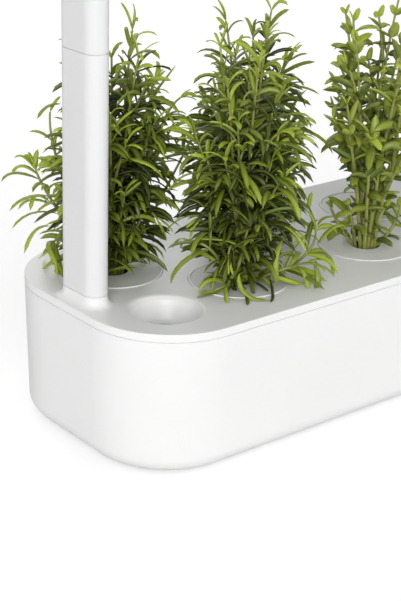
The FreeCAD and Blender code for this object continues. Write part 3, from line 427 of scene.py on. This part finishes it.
def stem_mesh(path, thick, thin, foot, tint):
    """A tapering tube along a path of points; foot is its freshness at the base."""
    along = np.gradient(path, axis=0)
    along /= np.linalg.norm(along, axis=1)[:, None]
    across = np.cross(along, (0.31, 0.95, 0.05))
    across /= np.linalg.norm(across, axis=1)[:, None]
    other = np.cross(along, across)
    turn = np.arange(STEM_SIDES) * 2 * math.pi / STEM_SIDES
    radius = np.linspace(thick, thin, len(path))[:, None, None] / 2
    spokes = np.cos(turn)[:, None] * across[:, None] + np.sin(turn)[:, None] * other[:, None]
    points = path[:, None] + radius * spokes
    ring = np.arange(STEM_SIDES)
    after = (ring + 1) % STEM_SIDES
    level = np.arange(len(path) - 1)[:, None] * STEM_SIDES
    faces = np.stack([level + ring, level + after, level + STEM_SIDES + after, level + STEM_SIDES + ring], -1)
    shade = np.zeros((len(path), STEM_SIDES, 2))
    shade[..., 0] = (tint * np.linspace(foot, 1, len(path)))[:, None]
    return points.reshape(-1, 3), faces.reshape(-1, 4), shade.reshape(-1, 2)


def bend_path(base, middle, tip, count):
    """Points on a smooth bend from base to tip, pulled towards middle."""
    t = np.linspace(0, 1, count)[:, None]
    return (1 - t) ** 2 * base + 2 * t * (1 - t) * middle + t ** 2 * tip


def path_through(base, middle, tip, count):
    """Points on a smooth bend from base to tip that goes through middle."""
    return bend_path(base, 2 * middle - (base + tip) / 2, tip, count)


POST_BOXES = [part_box(name) for name in POSTS]
POST_ROOM = 1.5 * MM
FOLIAGE_SIDE = 103 * MM
FOLIAGE_END = 326 * MM
FOLIAGE_TOP = 290 * MM


def inside_posts(path):
    """Which leaves have a point inside a post."""
    hit = np.zeros(len(path), bool)
    for low, high in POST_BOXES:
        low, high = np.array(low) - POST_ROOM, np.array(high) + POST_ROOM
        hit |= ((path > low) & (path < high)).all(-1).any(-1)
    return hit


def beyond_room(path):
    """Which leaves reach past the room that the foliage has."""
    far = (np.abs(path[..., 1]) > FOLIAGE_SIDE) | (np.abs(path[..., 0]) > FOLIAGE_END)
    return (far | (path[..., 2] > FOLIAGE_TOP)).any(-1)


# How far a leaf's values stray from their usual ones
STRAY = {"place": 0.12, "turn": 0.25, "around": 0.2, "open": 0.2,
         "bend": 0.7, "sweep": 0.5, "roll": 0.6, "tint": 0.25}

# Where a stem's tip starts, how much less of each value its leaves have there, and how much fresher
TIP_START = 0.72
TIP_LESS = {"open": 0.62, "length": 0.5, "bend": 0.4, "width": 0.3}
TIP_FRESH = 0.4

# The lowest leaves' share of the full length, and how far each way a stem's direction is taken
LOW_LENGTH = 0.72
LOOK_ALONG = 0.004


def leaves_on_stem(rng, path, kind, share):
    """Whorls of leaves up a stem, each turned a quarter against the last; share thins them out."""
    lengths = np.linalg.norm(np.diff(path, axis=0), axis=1)
    run = np.concatenate([[0], np.cumsum(lengths)])
    start = kind["bare"] * run[-1]
    count = max(3, int((run[-1] - start) / kind["spacing"] * share))
    found = []
    turn = rng.uniform(0, math.pi)
    for i in range(count + 1):
        at = start + (run[-1] - start) * i / count
        at = min(run[-1], max(0, at + rng.normal(0, STRAY["place"]) * kind["spacing"]))
        point = np.array([np.interp(at, run, path[:, k]) for k in range(3)])
        ahead = np.array([np.interp(min(run[-1], at + LOOK_ALONG), run, path[:, k]) for k in range(3)])
        behind = np.array([np.interp(max(0, at - LOOK_ALONG), run, path[:, k]) for k in range(3)])
        axis = (ahead - behind) / np.linalg.norm(ahead - behind)
        across = np.cross(axis, (0.2, 0.9, 0.1))
        across /= np.linalg.norm(across)
        other = np.cross(axis, across)
        turn += math.pi / 2 + rng.normal(0, STRAY["turn"])
        up_stem = i / count
        tip = max(0, (up_stem - TIP_START) / (1 - TIP_START))
        full = LOW_LENGTH + (1 - LOW_LENGTH) * min(1, up_stem * 4)
        for k in range(kind["whorl"]):
            around = turn + 2 * math.pi * k / kind["whorl"] + rng.normal(0, STRAY["around"])
            open_angle = rng.normal(kind["open"], STRAY["open"]) * (1 - TIP_LESS["open"] * tip)
            radial = across * math.cos(around) + other * math.sin(around)
            heading = axis * math.cos(open_angle) + radial * math.sin(open_angle)
            size = rng.uniform(*kind["length"]) * (1 - TIP_LESS["length"] * tip) * full
            found.append({
                "base": point,
                "rise": math.asin(max(-1, min(1, heading[2]))),
                "heading": math.atan2(heading[1], heading[0]),
                "bend": abs(rng.normal(kind["bend"], STRAY["bend"])) * (1 - TIP_LESS["bend"] * tip),
                "sweep": rng.normal(0, STRAY["sweep"]),
                "roll": rng.normal(0, STRAY["roll"]),
                "length": size,
                "width": rng.uniform(*kind["width"]) * (1 - TIP_LESS["width"] * tip),
                "tint": rng.normal(TIP_FRESH * tip, STRAY["tint"]) + kind["fresh"] * up_stem,
            })
    return found


# The two kinds of herb: open and bend are in radians, stem is thick and thin, length and width are
# the least and the most, and tip is how blunt a leaf's end is
ROSEMARY = {"spacing": 10.5 * MM, "bare": 0.12, "whorl": 3, "open": 0.85, "bend": 1.9, "fresh": 0.05,
            "stems": 22, "lowest": 0.12, "forks": (0.45,), "stem": (2.6 * MM, 1.5 * MM), "foot": 0.35,
            "length": (24 * MM, 43 * MM), "width": (2.9 * MM, 4.7 * MM), "tip": 8}
SAVORY = {"spacing": 13 * MM, "bare": 0.3, "whorl": 2, "open": 1.0, "bend": 0.8, "fresh": 0.3,
          "stems": 9, "lowest": 0.3, "forks": (0.35, 0.6), "stem": (3.4 * MM, 1.8 * MM), "foot": 0.85,
          "length": (13 * MM, 24 * MM), "width": (5.5 * MM, 8.5 * MM), "tip": 2.6}
HERB_OF = {3: SAVORY, 7: SAVORY, 9: SAVORY}

# The bush's outline from its foot to its top: share of its height and share of its reach
SWELL = ((0, 0.3), (0.06, 0.62), (0.14, 0.92), (0.32, 1), (0.55, 0.96), (0.76, 0.74), (0.92, 0.44), (1, 0.1))

# The turn from stem to stem, the highest tip's share of the height, and how low its reach is read
GOLDEN_TURN = 0.618
HIGHEST = 0.98
SWELL_LAG = 0.9

# How many mm from the plant's middle a stem starts, and how much less for the tallest ones
FOOT_OUT = 8
FOOT_LESS = 6

# Stems lower than LOW_SHARE of the height arch over, and those taller than TALL_SHARE fork
LOW_SHARE = 0.35
ARCH_RISE = 16 * MM
TALL_SHARE = 0.45
FORK_RISE = 6 * MM
FORK_STEPS = 20

# Leaves clear the deck by this much, and what droops lower is pressed to this share of its drop
DECK_CLEAR = 1.1 * MM
PRESSED = 0.03

# Leaves above this share of the height count as outside, and how much lighter the outermost are: fresher
# growth outside, and painted shade on the darker leaves inside
OUTSIDE_TOP = 0.75
OUTSIDE_GAIN = 0.7

# For the stems and leaves traced from the photograph: how many of the leaves a stem has, how much
# wider the leaves are, and how many mm from the plant's middle a stem starts
SEEN_SHARE = 0.6
SEEN_WIDTH = 1.05
SEEN_FOOT = 7

# Plant n's random draws start from this number plus n
PLANT_SEED = 40


def swell(share):
    """The bush's reach at a share of its height."""
    return np.interp(share, *zip(*SWELL))


def bush_stems(rng, centre, kind, height, reach):
    """Stems whose tips spread evenly over the bush's outline; the low ones arch over."""
    stems = []
    for i in range(kind["stems"]):
        around = 2 * math.pi * (i * GOLDEN_TURN + rng.uniform(-0.05, 0.05))
        share = kind["lowest"] + (HIGHEST - kind["lowest"]) * (i + 0.5) / kind["stems"]
        out = np.array([math.cos(around), math.sin(around), 0])
        up = np.array([0, 0, height * share])
        side = out * reach * swell(share * SWELL_LAG) * rng.uniform(0.62, 0.95)
        base = centre + out * (FOOT_OUT - FOOT_LESS * share) * MM
        if share < LOW_SHARE:
            middle = centre + side * 0.7 + up + np.array([0, 0, ARCH_RISE])
        else:
            middle = centre + side * rng.uniform(0.3, 0.6) + up * 0.62
        stems.append((base, middle, centre + side + up))
    return stems


def side_branches(rng, stems, centre, kind, height, reach):
    """Branches that leave the taller stems part of the way up and fill the bush's outer shell."""
    branches = []
    for base, middle, tip in stems:
        if tip[2] - centre[2] < TALL_SHARE * height:
            continue
        for fork in kind["forks"]:
            start = bend_path(base, middle, tip, FORK_STEPS + 1)[round(fork * FORK_STEPS)]
            around = math.atan2(tip[1] - centre[1], tip[0] - centre[0]) + rng.normal(0, 0.9)
            share = (start[2] - centre[2]) / height + rng.uniform(0.12, 0.3)
            out = np.array([math.cos(around), math.sin(around), 0])
            side = out * reach * swell(share) * rng.uniform(0.75, 0.98)
            end = centre + side + np.array([0, 0, height * share])
            branches.append((start, (start + end) / 2 + np.array([0, 0, FORK_RISE]), end))
    return branches


def freshen_and_shade_inside(leaves, centre, height, reach):
    """Leaves near the bush's outline are fresh green, and those inside are dark with painted shade."""
    share = np.clip((leaves["base"][:, 2] - centre[2]) / height, 0, 1)
    out = np.hypot(*(leaves["base"] - centre).T[:2]) / (reach * swell(share))
    top = np.clip((share - OUTSIDE_TOP) / (1 - OUTSIDE_TOP), 0, 1)
    outside = np.clip(np.maximum(out, top), 0, 1) ** 1.8
    leaves["tint"] = np.clip(leaves["tint"] + OUTSIDE_GAIN * outside, 0, 1)


def keep_above(points, level):
    """Leaves that droop to the deck lie on it."""
    low = points[:, 2] < level
    points[low, 2] = level + (points[low, 2] - level) * PRESSED


def plant_mesh(rng, n, centre, kind):
    """Points, faces and tints of one plant's leaves and stems."""
    low, high = (np.array(corner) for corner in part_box(f"plant_{n}"))
    height, reach = high[2] - LID_TOP, (high[0] - low[0]) / 2
    leaf_list, tubes = [], []
    bush, seen = bush_stems(rng, centre, kind, height, reach), seen_stems(n, centre)
    bush += side_branches(rng, bush, centre, kind, height, reach)
    for i, (base, middle, tip) in enumerate(bush + seen):
        path = bend_path(base, middle, tip, STEM_POINTS)
        tubes.append(stem_mesh(path, *kind["stem"], kind["foot"], rng.uniform(0.75, 1)))
        leaf_list += leaves_on_stem(rng, path, kind, 1 if i < len(bush) else SEEN_SHARE)
    leaves = {key: np.array([leaf[key] for leaf in leaf_list]) for key in leaf_list[0]}
    leaves["bend"] = np.minimum(leaves["bend"], leaves["rise"] + rng.uniform(0.6, 1.6, len(leaf_list)))
    freshen_and_shade_inside(leaves, centre, height, reach)
    path, side, top = grown_paths(leaves)
    keep = ~(inside_posts(path) | beyond_room(path))
    # The tint is freshness, with painted shade on the leaves inside the bush
    width, fresh = leaves["width"][keep], leaves["tint"][keep]
    groups = [leaf_skin(path[keep], side[keep], top[keep], width, fresh, kind["tip"])]
    curves = seen_leaves(n, centre)
    if curves:
        width = rng.uniform(*kind["width"], len(curves)) * SEEN_WIDTH
        fresh = rng.uniform(0.5, 0.95, len(curves))
        groups.append(leaf_skin(*traced_paths(curves), width, fresh, kind["tip"]))
    for points, _, _ in groups:
        keep_above(points, LID_TOP + DECK_CLEAR)
    return groups, tubes


def build_mesh(name, groups, materials):
    """One mesh object from groups of points, faces, tints and a material number."""
    points = np.concatenate([g[0] for g in groups])
    starts = np.cumsum([0] + [len(g[0]) for g in groups[:-1]])
    faces = np.concatenate([g[1] + s for g, s in zip(groups, starts)])
    tint = np.concatenate([g[2] for g in groups])
    number = np.concatenate([np.full(len(g[1]), g[3]) for g in groups])
    mesh = bpy.data.meshes.new(name)
    mesh.vertices.add(len(points))
    mesh.vertices.foreach_set("co", points.astype(np.float32).ravel())
    mesh.loops.add(faces.size)
    mesh.loops.foreach_set("vertex_index", faces.astype(np.int32).ravel())
    mesh.polygons.add(len(faces))
    mesh.polygons.foreach_set("loop_start", np.arange(0, faces.size, 4, dtype=np.int32))
    mesh.polygons.foreach_set("material_index", number.astype(np.int32))
    mesh.polygons.foreach_set("use_smooth", np.ones(len(faces), bool))
    mesh.update(calc_edges=True)
    layer = mesh.attributes.new("tint", "FLOAT_COLOR", "POINT")
    colours = np.ones((len(points), 4), np.float32)
    colours[:, :2] = tint
    colours[:, 2] = 0
    layer.data.foreach_set("color", colours.ravel())
    for material in materials:
        mesh.materials.append(material)
    thing = bpy.data.objects.new(name, mesh)
    bpy.context.scene.collection.objects.link(thing)
    return thing


# Stems that the photograph shows apart from the bushes, by plant: x and y in the picture, and how far
# in front of the plant's middle in millimetres, halfway and at the tip
STEMS_SEEN = {
    1: [((56, 207, 4), (36, 170, 4)), ((62, 175, 0), (50, 112, 0)), ((60, 240, 10), (56, 262, 12)),
        ((165, 190, 12), (196, 130, 8)), ((152, 150, 10), (180, 98, 4)), ((148, 180, 16), (172, 128, 14))],
    6: [((245, 240, 35), (265, 198, 30)), ((275, 272, 22), (309, 262, 14)), ((308, 252, 14), (309, 208, 8)),
        ((213, 252, 30), (188, 240, 26)), ((228, 285, 26), (216, 290, 30))],
    7: [((340, 226, 8), (331, 208, 8)), ((393, 226, 8), (400, 205, 6)),
        ((352, 222, 14), (347, 204, 14)), ((378, 224, 14), (385, 208, 14))],
}

# Leaves that stand clear in the photograph, by plant: how far in front, then base, middle and tip
LEAVES_SEEN = {
    1: [(4, (41, 180), (15, 173), (1, 182)), (4, (38, 175), (22, 166), (11, 175)),
        (4, (36, 170), (24, 157), (14, 158)), (4, (39, 171), (47, 157), (61, 162)),
        (4, (50, 202), (36, 196), (30, 211)), (4, (54, 205), (31, 200), (18, 210)),
        (8, (50, 226), (34, 232), (24, 254)), (8, (61, 242), (54, 251), (55, 266)),
        (10, (61, 261), (57, 272), (60, 284)), (0, (61, 104), (47, 107), (37, 119)),
        (0, (61, 133), (54, 140), (55, 150)), (4, (36, 170), (35, 160), (38, 149))],
    6: [(34, (253, 215), (237, 208), (206, 222)), (34, (241, 248), (225, 240), (194, 239)),
        (32, (264, 200), (284, 194), (302, 215)), (40, (239, 274), (245, 293), (271, 304)),
        (16, (298, 267), (305, 275), (309, 293)), (14, (312, 262), (318, 276), (314, 296)),
        (12, (318, 244), (331, 229), (345, 225)), (12, (315, 253), (329, 257), (334, 276)),
        (30, (263, 201), (259, 222), (250, 244)), (24, (283, 240), (276, 257), (278, 282))],
}


def seen_stems(n, centre):
    """The stems traced from the photograph, each from the plant's foot."""
    stems = []
    for middle, tip in STEMS_SEEN.get(n, []):
        middle = seen_at(*middle[:2], centre, middle[2])
        tip = seen_at(*tip[:2], centre, tip[2])
        out = (tip - centre) * np.array([1, 1, 0])
        base = centre + out / np.linalg.norm(out) * SEEN_FOOT * MM
        stems.append((base, 2 * middle - (base + tip) / 2, tip))
    return stems


def seen_leaves(n, centre):
    """The leaves traced from the photograph, as base, middle and tip points."""
    return [tuple(seen_at(*point, centre, forward) for point in points)
            for forward, *points in LEAVES_SEEN.get(n, [])]


def make_plants():
    """The nine herbs, each standing for its plain CAD solid."""
    # The deep green that leaves inside a bush take is painted shade; the rosemary's is near black
    rosemary = leaf_material("rosemary_leaf", (0.008, 0.016, 0.002), (0.52, 0.65, 0.06), (0.28, 0.36, 0.1))
    savory = leaf_material("savory_leaf", (0.07, 0.12, 0.008), (0.58, 0.68, 0.08), (0.32, 0.4, 0.11))
    twig = leaf_material("herb_stem", (0.08, 0.07, 0.025), (0.46, 0.5, 0.12), (0.34, 0.38, 0.12))
    for n in CUPS:
        low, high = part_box(f"pod_{n}")
        centre = np.array([(low.x + high.x) / 2, (low.y + high.y) / 2, LID_TOP - 3 * MM])
        kind = HERB_OF.get(n, ROSEMARY)
        rng = np.random.default_rng(PLANT_SEED + n)
        leaves, tubes = plant_mesh(rng, n, centre, kind)
        groups = [(*leaf, 0) for leaf in leaves] + [(*tube, 1) for tube in tubes]
        skin = savory if kind is SAVORY else rosemary
        plant = build_mesh(f"herb_{n}", groups, [skin, twig])
        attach(plant, f"cup_{n}_set")
        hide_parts(f"plant_{n}")


# The growing medium: its room to the basket, depth, wick and end radius, sides, roughness and seed
SOIL_ROOM = 0.5 * MM
SOIL_DEPTH = 48.2 * MM
WICK = 3.4 * MM
END_RADIUS = 0.0001
SOIL_STEPS = 40
SOIL_ROUGH = 0.35 * MM
SOIL_SEED = 7


def lathe(name, profile, steps, rough, rng):
    """A turned solid from a profile of radius and height, with a rough skin."""
    turn = np.arange(steps) * 2 * math.pi / steps
    points = np.array([(r * math.cos(a), r * math.sin(a), z) for r, z in profile for a in turn])
    points += rng.normal(0, rough, points.shape)
    faces = []
    for i in range(len(profile) - 1):
        for k in range(steps):
            after = (k + 1) % steps
            faces.append((i * steps + k, i * steps + after, (i + 1) * steps + after, (i + 1) * steps + k))
    mesh = bpy.data.meshes.new(name)
    mesh.from_pydata([tuple(p) for p in points], [], faces)
    mesh.polygons.foreach_set("use_smooth", np.ones(len(faces), bool))
    thing = bpy.data.objects.new(name, mesh)
    bpy.context.scene.collection.objects.link(thing)
    return thing


def make_soil():
    """The growing medium in each pod, with a rough skin and a wick below."""
    material = soil_material()
    rng = np.random.default_rng(SOIL_SEED)
    for n in CUPS:
        low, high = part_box(f"soil_plug_{n}")
        wide = (high.x - low.x) / 2 - SOIL_ROOM
        top, foot = high.z, low.z
        shoulder = LID_TOP - SOIL_DEPTH
        profile = [(END_RADIUS, top)] + [(wide * s, top) for s in (0.15, 0.3, 0.45, 0.6, 0.75, 0.9)]
        profile += [(wide, top - 1.5 * MM), (wide * 0.84, shoulder), (WICK, shoulder - 0.3 * MM)]
        profile += [(WICK, shoulder - (shoulder - foot) * s) for s in (0.3, 0.6, 1)]
        profile += [(END_RADIUS, foot)]
        soil = lathe(f"soil_{n}", profile, SOIL_STEPS, SOIL_ROUGH, rng)
        soil.location = ((low.x + high.x) / 2, (low.y + high.y) / 2, 0)
        soil.data.materials.append(material)
        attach(soil, f"cup_{n}_set")
        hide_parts(f"soil_plug_{n}")


make_camera()
make_lights()
make_world()
make_floor()
dress_nodes()
make_plants()
make_soil()
bpy.context.scene.view_settings.view_transform = "Standard"
